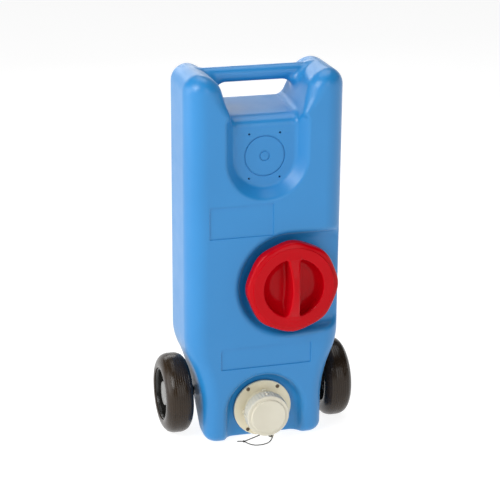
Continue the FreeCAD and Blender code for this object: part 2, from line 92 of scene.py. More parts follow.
u_centre_z = 0.548
u_half_front = 0.0766
u_half_floor = 0.0585
u_depth = 0.022
u_floor_y = front_y + u_depth
u_floor_fillet = 0.003
u_edge_r = 0.0024
u_lid_rise = 0.004
u_lid_round = 0.006

# Marks moulded into the front. Grooves are (radius, width, depth); a panel is two opposite
# corners, given across and up, and the radius of its corners.
blank_grooves = ((0.0369, 0.0026, 0.0020), (0.0085, 0.0030, 0.0018))
groove_round = 0.4
centre_mark_r = 0.0012
centre_mark_depth = 0.0008
panels = (((-0.1064, 0.4045), (0.0114, 0.4638), 0.001), ((-0.0850, 0.1490), (0.0870, 0.1900), 0.003))
panel_depth = 0.0020
panel_draft = 0.0009

cap_low, cap_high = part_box("filler_cap")
filler_x = (cap_low.x + cap_high.x) / 2
filler_z = (cap_low.z + cap_high.z) / 2
scoop_r = 0.0995
scoop_floor_r = 0.0905
scoop_depth = 0.022
scoop_side_rise = 0.012
scoop_side_run = 0.154
scoop_floor_fillet = 0.010
front_edge_r = 0.007
neck_r = 0.068
neck_bore_r = 0.062
neck_reach = 0.015
neck_middle = 0.006
neck_fillet = 0.004
neck_mouth_r = 0.001
bore_depth = 0.060
thread_lead = 0.008
thread_start = 0.002
thread_turns = 2

# Filler cap, with its depths measured back from the tank's front
cap_face = -0.022
cap_back = 0.0005
cap_lobes = 8
cap_lobe_r = 0.0855
cap_lobe_height = 0.0012
cap_ring_r = 0.0767
cap_ring_round = 0.0009
cap_ring_step = 0.0018
shoulder_start_r = 0.0765
shoulder_slope = 0.30
shoulder_lean = 0.94
cap_rim_round = 0.0045
cap_back_round = 0.002
cap_wall = 0.004
cap_bore_r = 0.0705
cap_pocket_r = 0.0735
cap_pocket_place = 0.0055
cap_cup_r = 0.060
cap_cup_back = 0.008
cap_dish_r = 0.0565
cap_dish_draft = 0.12
cap_dish_floor = 0.005
cap_dish_floor_round = 0.018
cap_dish_edge = 0.0025
grip_bow = 0.017
grip_waist_half = 0.00725
grip_widening = 0.0050
grip_edge = 0.0040
grip_outer_r = 0.064
grip_foot = 0.006
grip_fillet = 0.005

flange_low, flange_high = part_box("outlet_flange")
outlet_z = (flange_low.z + flange_high.z) / 2
arch_r = 0.076
arch_floor_r = 0.066
arch_depth = 0.025
arch_floor_fillet = 0.009
drain_r = 0.030
screw_pitch_x = 0.057
screw_pitch_z = 0.082
pilot_r = 0.00195
pilot_depth = 0.009

# Outlet: places are middles and are measured back from the tank's front
flange_r = 0.0555
flange_place = 0.0205
flange_half = 0.0025
spigot_r = 0.034
spigot_place = 0.0035
spigot_half = 0.0185
spigot_bore_r = 0.0295
spigot_fillet = 0.003
lug_r = 0.041
lug_foot_r = 0.030
lug_place = 0.0105
lug_half_width = 0.004
lug_half = 0.0025
outlet_edge = 0.001
outlet_cap_r = 0.0402
outlet_cap_front = -0.0247
outlet_cap_back = -0.001
outlet_cap_face_r = 0.0330
outlet_cap_bore_r = 0.0369
outlet_cap_inside = -0.018
collar_front = -0.0215
collar_draft = 0.06
collar_draft_start = -0.0205
rib_count = 40
rib_height = 0.0003
rib_fade = (-0.0205, -0.0175)
pad_half_width = 0.0022
pad_turn_r = 0.041
pad_place = -0.0075
pad_half_length = 0.0055
pad_r = 0.0405
pad_half_height = 0.0020
tab_angle = math.radians(-78)
tab_place = -0.011
tab_half = 0.002
tab_foot_r = 0.036
tab_tip_place = 0.0455
tab_tip_r = 0.0042
tab_hole_place = 0.046
tab_hole_r = 0.0018
tether_r = 0.0383
tether_half = 0.0015
tether_place = 0.0025
block_angle = math.radians(-8)
block_half_width = 0.003
block_place = 0.0403
block_half_height = 0.0025
soft_edge = 0.0008

# Screws
head_r = 0.0037
head_edge = 0.0004
head_dome = 0.0018
slot_reach = 0.0021
slot_half = 0.0005
slot_taper = 0.6

axle_low, axle_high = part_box("axle")
axle_y = (axle_low.y + axle_high.y) / 2
axle_z = (axle_low.z + axle_high.z) / 2
tyre_low, tyre_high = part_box("right_tyre")
wheel_x = (tyre_low.x + tyre_high.x) / 2
wheel_r = tyre_high.z - axle_z
tyre_half = (tyre_high.x - tyre_low.x) / 2
tyre_shoulder_r = 0.0216
tyre_inner_r = 0.0690
tyre_side_r = 0.0539
bead_r = 0.0492
bead_half = 0.006
tread_half = 0.0175
tread_step = 0.00035
tread_groove_pitch = 0.0042
tread_groove_half = 0.0007
tread_groove_depth = 0.0005
axle_hole_r = 0.0063

# How finely the skins are meshed, and how far cutting tools run past what they cut
tank_cell = 0.003
filler_cap_cell = 0.0011
flange_cell = 0.0009
outlet_cap_cell = 0.0008
tether_cell = 0.0006
sharp_angle = math.radians(38)
tool_lead = 0.002
past_side = 0.2


# Forms as distance fields: negative inside, and rounded where two of them meet

def round_max(a, b, radius):
    """Overlap of two forms, with a round edge where their surfaces meet."""
    inner = np.minimum(np.maximum(a, b), -radius)
    return inner + np.hypot(np.maximum(a + radius, 0), np.maximum(b + radius, 0))


def round_min(a, b, radius):
    """Two forms joined, with a fillet where their surfaces meet."""
    return -round_max(-a, -b, radius)


def field_slope(field, points, reach):
    """Gradient of the field at each point."""
    slope = np.empty_like(points)
    for axis in range(3):
        shift = np.zeros(3)
        shift[axis] = reach
        ahead = field(*(points + shift).T)
        behind = field(*(points - shift).T)
        slope[:, axis] = (ahead - behind) / (2 * reach)
    return slope


def net_mesh(name, field, low, high, step):
    """Smooth closed mesh where the field is zero, with one point in each cell that it crosses."""
    passes = 5
    least_slope = 0.05
    most_move = 0.9 * step
    axes = [np.arange(low[i] - 2 * step, high[i] + 3 * step, step) for i in range(3)]
    inside = field(*np.meshgrid(*axes, indexing="ij", sparse=True)) < 0
    count = np.zeros([n - 1 for n in inside.shape], int)
    for i, j, k in itertools.product((0, 1), repeat=3):
        count += inside[i:inside.shape[0] - 1 + i, j:inside.shape[1] - 1 + j, k:inside.shape[2] - 1 + k]
    mixed = (count > 0) & (count < 8)
    number = np.full(count.shape, -1)
    number[mixed] = np.arange(mixed.sum())
    centres = np.argwhere(mixed) * step + [axis[0] + step / 2 for axis in axes]
    points = centres.copy()
    for _ in range(passes):
        slope = field_slope(field, points, step / 20)
        size = np.maximum((slope ** 2).sum(1), least_slope)
        move = -(field(*points.T) / size)[:, None] * slope
        points = centres + np.clip(points + move - centres, -most_move, most_move)
    faces = []
    for axis in range(3):
        one, two = [a for a in range(3) if a != axis]
        first = inside.take(range(inside.shape[axis] - 1), axis)
        second = inside.take(range(1, inside.shape[axis]), axis)
        for leaving in (True, False):
            edge = np.argwhere((first != second) & (first == leaving))
            quad = []
            for back_one, back_two in ((0, 0), (1, 0), (1, 1), (0, 1)):
                cell = edge.copy()
                cell[:, one] -= back_one
                cell[:, two] -= back_two
                quad.append(number[tuple(cell.T)])
            turn = leaving == (axis != 1)
            faces.append(np.stack(quad if turn else quad[::-1], 1))
    mesh = bpy.data.meshes.new(name)
    mesh.from_pydata(points.tolist(), [], np.concatenate(faces).tolist())
    mesh.validate()
    return piece_from(mesh, name)


def piece_from(mesh, name):
    """Object for a mesh, shaded smooth except at its sharp edges."""
    mesh.shade_smooth()
    mesh.set_sharp_from_angle(angle=sharp_angle)
    piece = bpy.data.objects.new(name, mesh)
    bpy.context.scene.collection.objects.link(piece)
    return piece


def filleted(corners, steps=5):
    """Outline through (along, radius, fillet) corners, each rounded by its fillet."""
    outline = []
    for index, (along, radius, fillet) in enumerate(corners):
        here = Vector((along, radius))
        before = (Vector(corners[index - 1][:2]) - here).normalized()
        after = (Vector(corners[(index + 1) % len(corners)][:2]) - here).normalized()
        if fillet == 0:
            outline.append(here)
            continue
        half = before.angle(after) / 2
        inward = (before + after).normalized()
        centre = here + inward * fillet / math.sin(half)
        sweep = math.pi - 2 * half
        towards_start = -1 if inward.cross(before) > 0 else 1
        for step in range(steps + 1):
            turn = towards_start * (sweep / 2 - sweep * step / steps)
            outline.append(centre + Matrix.Rotation(turn, 2) @ -inward * fillet)
    return outline


def lathe(name, outline, origin, axis, segments=128):
    """Closed solid turned from (along, radius) points about an axis through the origin."""
    turn = Vector((0, 0, 1)).rotation_difference(Vector(axis)).to_matrix().to_4x4()
    place = Matrix.Translation(origin) @ turn
    points = []
    for step in range(segments):
        angle = math.tau * step / segments
        for along, radius in outline:
            points.append((radius * math.cos(angle), radius * math.sin(angle), along))
    size = len(outline)
    faces = []
    for step, index in itertools.product(range(segments), range(size)):
        here = step * size
        there = (step + 1) % segments * size
        following = (index + 1) % size
        if outline[index][1] > 0 or outline[following][1] > 0:
            faces.append((here + index, here + following, there + following, there + index))
    mesh = bpy.data.meshes.new(name)
    mesh.from_pydata(points, [], faces)
    mesh.transform(place)
    return piece_from(welded(mesh), name)


def welded(mesh):
    """Mesh with coincident points merged and its faces turned outwards."""
    work = bmesh.new()
    work.from_mesh(mesh)
    bmesh.ops.remove_doubles(work, verts=work.verts, dist=1e-6)
    bmesh.ops.recalc_face_normals(work, faces=work.faces)
    work.to_mesh(mesh)
    work.free()
    return mesh


def combine(piece, tool, operation="DIFFERENCE"):
    """Cuts the tool from the piece, or joins it on, and removes the tool."""
    modifier = piece.modifiers.new("combine", "BOOLEAN")
    modifier.object = tool
    modifier.operation = operation
    modifier.solver = "MANIFOLD"
    solid = piece.evaluated_get(bpy.context.evaluated_depsgraph_get())
    mesh = bpy.data.meshes.new_from_object(solid)
    piece.modifiers.clear()
    piece.data = mesh
    mesh.shade_smooth()
    mesh.set_sharp_from_angle(angle=sharp_angle)
    bpy.data.objects.remove(tool)


# Tank

def half_width(z):
    """Half width of the tank: straight legs, a hollow arc, a full arc, then straight sides."""
    radius_sum = (tank_width / 2 - leg_half) / (1 - math.cos(flare_angle))
    lower_r = radius_sum * 2 / 3
    upper_r = radius_sum - lower_r
    joint_z = flare_bottom_z + lower_r * math.sin(flare_angle)
    top_z = flare_bottom_z + radius_sum * math.sin(flare_angle)
    # Past their ends the arcs are held at this share of their radius, which keeps the roots real
    most = 0.9
    up = np.clip(z - flare_bottom_z, 0, lower_r * most)
    down = np.clip(top_z - z, 0, upper_r * most)
    hollow = leg_half + lower_r - np.sqrt(lower_r ** 2 - up ** 2)
    full = tank_width / 2 - upper_r + np.sqrt(upper_r ** 2 - down ** 2)
    return np.where(z < joint_z, hollow, full)


def block_field(x, y, z):
    """Tank without its recesses."""
    flare_top_z = 0.211
    corner = np.interp(z, (flare_bottom_z, flare_top_z), (foot_corner_r, corner_r))
    across = np.abs(x) - half_width(z) + corner
    along = np.abs(y - tank_mid_y) - tank_depth / 2 + corner
    outside = np.hypot(np.maximum(across, 0), np.maximum(along, 0))
    plan = np.minimum(np.maximum(across, along), 0) + outside - corner
    form = round_max(plan, z - tank_height, top_round_r)
    form = round_max(form, -z, foot_round_r)
    return round_max(form, (y - foot_back_y - z) * math.sqrt(0.5), tilt_round_r)


def recess_field(outline_distance, slope, y, depth, fillet):
    """Recess in the front with sloping sides and a filleted floor."""
    lean = math.cos(math.atan(slope))
    return round_max((outline_distance + slope * (y - front_y)) * lean, y - front_y - depth, fillet)


def u_field(x, y, z):
    """Recess under the handle, round at the bottom."""
    below = np.minimum(z - u_centre_z, 0)
    distance = np.hypot(x, below) - u_half_front
    slope = (u_half_front - u_half_floor) / u_depth
    form = recess_field(distance, slope, y, u_depth, u_floor_fillet)
    return round_max(form, z - gap_ledge_z - u_lid_rise, u_lid_round)


def gap_field(x, y, z):
    """Space between the horns, over the ledge."""
    slope = (gap_half_high - gap_half_low) / (tank_height - gap_ledge_z)
    lean = math.cos(math.atan(slope))
    walls = (np.abs(x) - gap_half_low - slope * (z - gap_ledge_z)) * lean
    rise = gap_ledge_rise * (y - u_floor_y) / (rear_y - u_floor_y)
    before_ledge = np.clip(u_floor_y + ramp_depth - y, 0, ramp_depth + ramp_run_on)
    drop = ledge_round_r - np.sqrt(ledge_round_r ** 2 - before_ledge ** 2)
    under = round_max((z - gap_ledge_z - rise + drop) * ramp_lean, u_floor_y - y, crease_r)
    form = round_max(walls, -under, gap_corner_r)
    return np.maximum(form, gap_ledge_z - gap_floor_drop - z)


def scoop_field(x, y, z):
    """Recess round the filler neck, open to the right-hand side."""
    right = np.maximum(x - filler_x, 0)
    left = np.minimum(x - filler_x, 0)
    round_part = np.hypot(left, z - filler_z)
    low_side = filler_z - z + right * scoop_side_rise / scoop_side_run
    distance = np.where(left < 0, round_part, np.maximum(z - filler_z, low_side)) - scoop_r
    slope = (scoop_r - scoop_floor_r) / scoop_depth
    return recess_field(distance, slope, y, scoop_depth, scoop_floor_fillet)


def arch_field(x, y, z):
    """Recess round the outlet, open at the bottom."""
    above = np.maximum(z - outlet_z, 0)
    slope = (arch_r - arch_floor_r) / arch_depth
    return recess_field(np.hypot(x, above) - arch_r, slope, y, arch_depth, arch_floor_fillet)


def tank_field(x, y, z):
    """Tank with its recesses, handle, neck and drain hole."""
    form = block_field(x, y, z)
    gap_edge = np.interp(z, gap_edge_heights, gap_edge_radii)
    form = round_max(form, -gap_field(x, y, z), gap_edge)
    form = round_max(form, -u_field(x, y, z), u_edge_r)
    form = round_max(form, -scoop_field(x, y, z), front_edge_r)
    form = round_max(form, -arch_field(x, y, z), front_edge_r)
    bar = np.maximum(np.hypot(y - handle_y, z - handle_z) - handle_r, np.abs(x) - handle_half)
    bar_heights = (handle_z - handle_r, handle_z + handle_r / 2)
    bar_fillet = np.interp(z, bar_heights, (handle_fillet_low, handle_fillet_high))
    form = np.maximum(round_min(form, bar, bar_fillet), block_field(x, y, z))
    from_neck = np.hypot(x - filler_x, z - filler_z)
    neck_length = np.abs(y - front_y - neck_middle) - neck_reach - neck_middle
    neck = np.maximum(from_neck - neck_r, neck_length)
    form = round_min(form, neck, neck_fillet)
    bore = np.maximum(from_neck - neck_bore_r, y - front_y - bore_depth)
    form = round_max(form, -bore, neck_mouth_r)
    drain = np.maximum(np.hypot(x, z - outlet_z) - drain_r, y - front_y - bore_depth)
    return np.maximum(form, -drain)


def groove_tool(radius, width, depth):
    """Ring that cuts a round-bottomed groove in the floor of the U recess."""
    fillet = width * groove_round
    outline = filleted([(-tool_lead, radius - width / 2, 0), (depth, radius - width / 2, fillet),
                        (depth, radius + width / 2, fillet), (-tool_lead, radius + width / 2, 0)], 3)
    return lathe("groove", outline, (0, u_floor_y, u_centre_z), (0, 1, 0), 96)


def panel_tool(low, high, depth, corner, steps=4):
    """Tool with round corners and sloping sides, which sinks a blank panel into the front."""
    points = []
    for y, spread in ((front_y - tool_lead / 2, panel_draft), (front_y + depth, 0)):
        for quarter, step in itertools.product(range(4), range(steps + 1)):
            angle = math.radians(90 * (quarter + step / steps))
            right = quarter in (0, 3)
            upper = quarter in (0, 1)
            x = (high[0] - corner) if right else (low[0] + corner)
            z = (high[1] - corner) if upper else (low[1] + corner)
            radius = corner + spread
            points.append((x + radius * math.cos(angle), y, z + radius * math.sin(angle)))
    size = len(points) // 2
    faces = [tuple(range(size)), tuple(range(size, 2 * size))]
    for index in range(size):
        following = (index + 1) % size
        faces.append((index, following, size + following, size + index))
    mesh = bpy.data.meshes.new("panel")
    mesh.from_pydata(points, [], faces)
    return piece_from(welded(mesh), "panel")


def rod(name, radius, start, end, segments=32):
    """Round tool from one point to another."""
    way = Vector(end) - Vector(start)
    outline = [(0, 0), (0, radius), (way.length, radius), (way.length, 0)]
    return lathe(name, outline, start, way, segments)


def screw_places(centre_z):
    signs = itertools.product((-1, 1), repeat=2)
    return [(sx * screw_pitch_x / 2, centre_z + sz * screw_pitch_z / 2) for sx, sz in signs]


def tank():
    """Tank skin with its grooves, blank panels, pilot holes and axle hole."""
    low = Vector((tank_low.x, front_y - neck_reach, 0))
    piece = net_mesh("tank_skin", tank_field, low, tank_high, tank_cell)
    for groove in blank_grooves:
        combine(piece, groove_tool(*groove))
    for panel_low, panel_high, corner in panels:
        combine(piece, panel_tool(panel_low, panel_high, panel_depth, corner))
    before_floor = u_floor_y - tool_lead
    for x, z in screw_places(u_centre_z):
        combine(piece, rod("pilot", pilot_r, (x, before_floor, z), (x, u_floor_y + pilot_depth, z)))
    mark_end = (0, u_floor_y + centre_mark_depth, u_centre_z)
    combine(piece, rod("centre_mark", centre_mark_r, (0, before_floor, u_centre_z), mark_end))
    hole_ends = [(x, axle_y, axle_z) for x in (-past_side, past_side)]
    combine(piece, rod("axle_hole", axle_hole_r, *hole_ends, 48))
    return piece


# Filler cap

def cap_field(x, y, z):
    """Red cap: lobed rim, sloping shoulder, flat ring, deep dish and a bowed grip across it."""
    across = x - filler_x
    up = z - filler_z
    back = y - front_y
    from_axis = np.hypot(across, up)
    lobes = from_axis - cap_lobe_r - cap_lobe_height * np.cos(cap_lobes * np.arctan2(across, up))
    ring = round_max(from_axis - cap_ring_r, cap_face - back, cap_ring_round)
    beyond_ring = np.maximum(from_axis - shoulder_start_r, 0)
    shoulder = (cap_face + cap_ring_step + shoulder_slope * beyond_ring - back) * shoulder_lean
    front = np.minimum(ring, shoulder)
    rim = round_max(lobes, front, cap_rim_round)
    rim = round_max(rim, back - cap_back, cap_back_round)
    bore = np.maximum(from_axis - cap_bore_r, cap_face + cap_wall - back)
    pocket = np.maximum(lobes + cap_wall, cap_pocket_r - from_axis)
    pocket = np.maximum(pocket, cap_face + cap_pocket_place - back)
    rim = np.maximum(rim, -np.minimum(bore, pocket))
    cup = np.maximum(np.maximum(from_axis - cap_cup_r, back - cap_cup_back), front)
    form = np.minimum(rim, cup)
    drafted = from_axis - cap_dish_r + cap_dish_draft * (back - cap_face)
    dish = round_max(drafted, back - cap_dish_floor, cap_dish_floor_round)
    form = round_max(form, -dish, cap_dish_edge)
    furthest = 1.1
    reach = np.minimum(np.abs(up) / cap_dish_r, furthest)
    half = grip_waist_half + grip_widening * reach ** 2
    crown = cap_face - grip_bow * (1 - reach ** 2)
    grip = round_max(np.abs(across) - half, crown - back, grip_edge)
    grip = np.maximum(np.maximum(grip, from_axis - grip_outer_r), back - grip_foot)
    return round_min(form, grip, grip_fillet)


def filler_cap():
    """Filler cap, with the small moulding mark on the crown of its grip."""
    piece = net_mesh("filler_cap_skin", cap_field, cap_low, cap_high, filler_cap_cell)
    gate = [(-0.001, 0), (-0.001, 0.0013), (0.0003, 0.0013), (0.0007, 0.0008), (0.0007, 0)]
    crown = (filler_x, front_y + cap_face - grip_bow, filler_z)
    combine(piece, lathe("gate", gate, crown, (0, -1, 0), 20), "UNION")
    return piece


def neck_thread():
    """Ridge that winds two turns round the neck and fades out at both ends."""
    steps = 144
    fade_steps = 12
    last = thread_turns * steps
    start_y = front_y - neck_reach + thread_start
    section = ((-0.0015, -0.0006), (0.0015, -0.0006), (0.0006, 0.0018), (-0.0006, 0.0018))
    points = []
    for step in range(last + 1):
        angle = math.tau * step / steps
        along_y = start_y + thread_lead * step / steps
        fade = min(1, step / fade_steps, (last - step) / fade_steps)
        for along, out in section:
            radius = neck_r + min(out, out * fade)
            points.append((filler_x + radius * math.sin(angle), along_y + along,
                           filler_z + radius * math.cos(angle)))
    size = len(section)
    faces = []
    for step, index in itertools.product(range(last), range(size)):
        here = step * size
        following = (index + 1) % size
        faces.append((here + index, here + following, here + size + following, here + size + index))
    faces.append(tuple(range(size)))
    faces.append(tuple(range(len(points) - size, len(points))))
    mesh = bpy.data.meshes.new("neck_thread")
    mesh.from_pydata(points, [], faces)
    return piece_from(welded(mesh), "neck_thread")


# Outlet

def about_outlet(x, y, z):
    """Height above the outlet's axis, distance behind the front, and distance from the axis."""
    up = z - outlet_z
    return up, y - front_y, np.hypot(x, up)


def outlet_flange_field(x, y, z):
    """Disc and spigot with four lugs, bored right through."""
    up, back, from_axis = about_outlet(x, y, z)
    disc = round_max(from_axis - flange_r, np.abs(back - flange_place) - flange_half, 0.0016)
    spigot = round_max(from_axis - spigot_r, np.abs(back - spigot_place) - spigot_half, 0.0012)
    form = round_min(disc, spigot, spigot_fillet)
    for degrees in range(0, 360, 90):
        angle = math.radians(degrees)
        out = x * math.sin(angle) + up * math.cos(angle)
        beside = np.abs(x * math.cos(angle) - up * math.sin(angle)) - lug_half_width
        lug = round_max(beside, np.abs(back - lug_place) - lug_half, outlet_edge)
        lug = round_max(np.maximum(lug, lug_foot_r - out), out - lug_r, outlet_edge)
        form = np.minimum(form, lug)
    return round_max(form, spigot_bore_r - from_axis, outlet_edge)


def collar_field(x, up, back, from_axis):
    """Collar of the outlet cap, with fine ribs round it and four raised pads."""
    turn = np.arctan2(x, up)
    ribs = rib_height * np.cos(rib_count * turn) * np.interp(back, rib_fade, (0, 1))
    draft = collar_draft * np.maximum(back - collar_draft_start, -0.003)
    body = from_axis - outlet_cap_r - ribs - draft
    form = round_max(round_max(body, back - outlet_cap_back, 0.0012), collar_front - back, 0.0020)
    quarter = (turn + math.pi / 4) % (math.pi / 2) - math.pi / 4
    pad_sides = np.abs(quarter) * pad_turn_r - pad_half_width
    pad = round_max(pad_sides, np.abs(back - pad_place) - pad_half_length, 0.0010)
    pad = round_max(pad, np.abs(from_axis - pad_r) - pad_half_height, soft_edge)
    return round_min(form, pad, 0.0006)


def outlet_cap_field(x, y, z):
    """Outlet cap: collar, raised face and the tab that the cord is tied to."""
    up, back, from_axis = about_outlet(x, y, z)
    form = collar_field(x, up, back, from_axis)
    face = round_max(from_axis - outlet_cap_face_r, outlet_cap_front - back, 0.0018)
    form = round_min(form, np.maximum(face, back + 0.010), soft_edge)
    out = x * math.cos(tab_angle) + up * math.sin(tab_angle)
    beside = -x * math.sin(tab_angle) + up * math.cos(tab_angle)
    tip = np.hypot(np.maximum(out - tab_tip_place, 0), beside) - tab_tip_r
    tab = round_max(np.maximum(tip, tab_foot_r - out), np.abs(back - tab_place) - tab_half, soft_edge)
    form = round_min(form, tab, 0.0015)
    hole = np.hypot(out - tab_hole_place, beside) - tab_hole_r
    form = round_max(form, -hole, 0.0005)
    bore = np.maximum(from_axis - outlet_cap_bore_r, outlet_cap_inside - back)
    return np.maximum(form, -bore)


def tether_ring_field(x, y, z):
    """Loose ring on the spigot, with the block that the rear cord is tied into."""
    up, back, from_axis = about_outlet(x, y, z)
    level = np.abs(back - tether_place) - tether_half
    ring = round_max(np.abs(from_axis - tether_r) - tether_half, level, 0.0009)
    beside = x * math.cos(block_angle) - up * math.sin(block_angle)
    down = -x * math.sin(block_angle) - up * math.cos(block_angle)
    block = round_max(np.abs(beside) - block_half_width, level, soft_edge)
    block = round_max(block, np.abs(down - block_place) - block_half_height, soft_edge)
    return round_min(ring, block, 0.001)


def screw_heads():
    """Four screws with a low domed head and a cross recess, each turned differently."""
    face = flange_high.y - 2 * flange_half
    heads = []
    for index, (x, z) in enumerate(screw_places(outlet_z)):
        outline = [(0.014, 0), (0.014, 0.0008), (0.011, 0.0017), (0.0002, 0.0017), (0, head_r)]
        for step in range(1, 7):
            angle = math.radians(15 * step)
            outline.append((-head_edge - head_dome * math.sin(angle), head_r * math.cos(angle)))
        head = lathe(f"screw_{index + 1}", outline, (x, face, z), (0, 1, 0), 40)
        for turn in (20 + 17 * index, 110 + 17 * index):
            angle = math.radians(turn)
            away = Vector((math.cos(angle), 0, math.sin(angle))) * slot_reach
            combine(head, slot_tool(Vector((x, face - 0.0016, z)), away))
        heads.append(head)
    return heads


def slot_tool(middle, away):
    """Bar that cuts one slot of a cross recess."""
    beside = Vector((-away.z, 0, away.x)).normalized() * slot_half
    points = []
    for depth, a, b in itertools.product((-0.0015, 0.0006), (-1, 1), (-1, 1)):
        reach = away * a * (1 if depth < 0 else slot_taper)
        points.append(middle + reach + beside * b + Vector((0, depth, 0)))
    faces = [(0, 1, 3, 2), (4, 6, 7, 5), (0, 4, 5, 1), (2, 3, 7, 6), (0, 2, 6, 4), (1, 5, 7, 3)]
    mesh = bpy.data.meshes.new("slot")
    mesh.from_pydata(points, [], faces)
    return piece_from(welded(mesh), "slot")


# Wheels

def tread_outline():
    """Middle of the tread with its fine grooves, as (out from the wheel's middle, radius)."""
    flat = tyre_half - tyre_shoulder_r
    grooves = [tread_groove_pitch * place for place in range(-4, 5)]
    tread = []
    for along in np.arange(tread_half, -tread_half - 0.0001, -tread_step):
        base = wheel_r - max(0, abs(along) - flat) ** 2 / (2 * tyre_shoulder_r)
        cut = max(max(0.0, 1 - abs(along - groove) / tread_groove_half) for groove in grooves)
        tread.append((along, base - tread_groove_depth * min(1, cut * 1.6)))
    return tread


def tyre(name, sign):
    """Tyre: round shoulders, a grooved tread and an open, hollow inside."""
    flat = tyre_half - tyre_shoulder_r
    centre_r = wheel_r - tyre_shoulder_r
    shoulders = []
    for degrees in range(0, 181, 3):
        angle = math.radians(degrees)
        side = flat if degrees < 90 else -flat
        shoulders.append((side + tyre_shoulder_r * math.cos(angle),
                          centre_r + tyre_shoulder_r * math.sin(angle)))
    limit = tread_half + 0.0003
    outward = [place for place in shoulders if place[0] > limit]
    inward = [place for place in shoulders if place[0] < -limit]
    bead = [(tyre_half - 0.006, bead_r + 0.001), (tyre_half - 0.005, bead_r),
            (tyre_half - 0.001, bead_r), (tyre_half, bead_r + 0.002)]
    far_bead = [(-along, radius) for along, radius in reversed(bead)]
    inside = [(-tyre_half + bead_half, tyre_side_r), (-0.010, tyre_inner_r), (0.010, tyre_inner_r),
              (tyre_half - bead_half, tyre_side_r)]
    outline = outward + tread_outline() + inward + far_bead + inside + bead
    return lathe(name, outline, (sign * wheel_x, axle_y, axle_z), (sign, 0, 0), 160)


def rim(name, sign):
    """Rim: rolled lips, barrel, dished web and a boss with a pocket for the axle's end."""
    corners = [(0.0235, 0.0488, 0.0008), (0.0235, 0.0462, 0.0008), (0.019, 0.0450, 0.002),
               (0.003, 0.0438, 0.003), (0.002, 0.0395, 0.001), (0.0045, 0.0385, 0.0008),
               (0.0045, 0.0365, 0.0008), (0.002, 0.0355, 0.001), (0.002, 0.0315, 0.001),
               (0.0040, 0.0307, 0.0008), (0.0040, 0.0291, 0.0008), (0.0018, 0.0283, 0.001),
               (0.001, 0.0240, 0.002), (0.0165, 0.0222, 0.001),
               (0.0170, 0.0182, 0.0008), (0.010, 0.0180, 0.0005), (0.010, 0.0102, 0),
               (-0.0222, 0.0102, 0.0003), (-0.0222, 0.0165, 0.001), (-0.004, 0.0180, 0.003),
               (-0.003, 0.0440, 0.003), (-0.0225, 0.0452, 0.001), (-0.0235, 0.0488, 0.0008)]
    return lathe(name, filleted(corners, 4), (sign * wheel_x, axle_y, axle_z), (sign, 0, 0), 128)


def hub_cap(name, sign):
    """Thin domed disc with a rolled edge."""
    outline = [(0.0172, 0), (0.0172, 0.0223), (0.0180, 0.0226), (0.0188, 0.0220), (0.0188, 0.0205),
               (0.0182, 0.0196), (0.0186, 0.0182)]
    dome_r = 0.0182
    for step in range(1, 9):
        radius = dome_r * (1 - step / 8)
        outline.append((0.0209 - 0.0023 * (radius / dome_r) ** 2, radius))
    return lathe(name, outline, (sign * wheel_x, axle_y, axle_z), (sign, 0, 0), 96)


# Cords: the routes' points are the ones that the frame's tubes follow

cord_d = 0.002
floor_cord_z = 0.0011
rear_route = [
    (-0.00596, front_y + 0.0025, 0.01462), (-0.0076, front_y + 0.0030, 0.0094),
    (-0.0134, front_y + 0.0052, 0.0059), (-0.0196, front_y + 0.0070, 0.0030),
    (-0.0268, front_y + 0.0064, floor_cord_z), (-0.0342, front_y + 0.0026, floor_cord_z),
    (-0.0406, front_y - 0.0018, 0.0019),
]
front_route = [
    (0.0104, front_y - 0.0115, 0.0068), (0.0080, front_y - 0.0141, 0.0032),
    (0.0, front_y - 0.0191, floor_cord_z), (-0.0120, front_y - 0.0231, floor_cord_z),
    (-0.0260, front_y - 0.0221, floor_cord_z), (-0.0356, front_y - 0.0129, floor_cord_z),
    (-0.0406, front_y - 0.0031, 0.0020), (-0.0468, front_y + 0.0005, 0.0017),
    (-0.0535, front_y + 0.0025, floor_cord_z),
]


def cord_line(name, route, samples=14):
    """Points along the smooth line that the route's points pull."""
    curve = bpy.data.curves.new(name, "CURVE")
    curve.dimensions = "3D"
    spline = curve.splines.new("NURBS")
    spline.points.add(len(route) - 1)
    for point, place in zip(spline.points, route):
        point.co = (*place, 1)
    spline.order_u = 3
    spline.use_endpoint_u = True
    spline.resolution_u = samples
    carrier = bpy.data.objects.new(name, curve)
    bpy.context.scene.collection.objects.link(carrier)
    bpy.context.view_layer.update()
    line = bpy.data.meshes.new_from_object(carrier)
    points = [vertex.co.copy() for vertex in line.vertices]
    bpy.data.objects.remove(carrier)
    return points


def braided_tube(name, points, radius, sides=16):
    """Tube along the points with the ridges of a fine braid."""
    rings = []
    ridges_each_way = 4
    ridge_pitch = 2400
    travelled = 0.0
    side = Vector((0, 0, 1))
    for index, point in enumerate(points):
        ahead = points[min(index + 1, len(points) - 1)]
        behind = points[max(index - 1, 0)]
        way = (ahead - behind).normalized()
        side = (side - way * side.dot(way)).normalized()
        over = way.cross(side)
        travelled += (point - behind).length
        ring = []
        for step in range(sides):
            angle = math.tau * step / sides
            round_way = ridges_each_way * angle
            along_way = travelled * ridge_pitch
            ridge = math.sin(round_way + along_way) * math.sin(round_way - along_way)
            size = radius * (0.96 + 0.05 * ridge)
            ring.append(point + (side * math.cos(angle) + over * math.sin(angle)) * size)
        rings.append(ring)
    verts = [place for ring in rings for place in ring]
    faces = []
    for index, step in itertools.product(range(len(rings) - 1), range(sides)):
        here = index * sides
        following = (step + 1) % sides
        faces.append((here + step, here + following, here + sides + following, here + sides + step))
    faces.append(tuple(range(sides))[::-1])
    faces.append(tuple(range(len(verts) - sides, len(verts))))
    mesh = bpy.data.meshes.new(name)
    mesh.from_pydata(verts, [], faces)
    return piece_from(mesh, name)


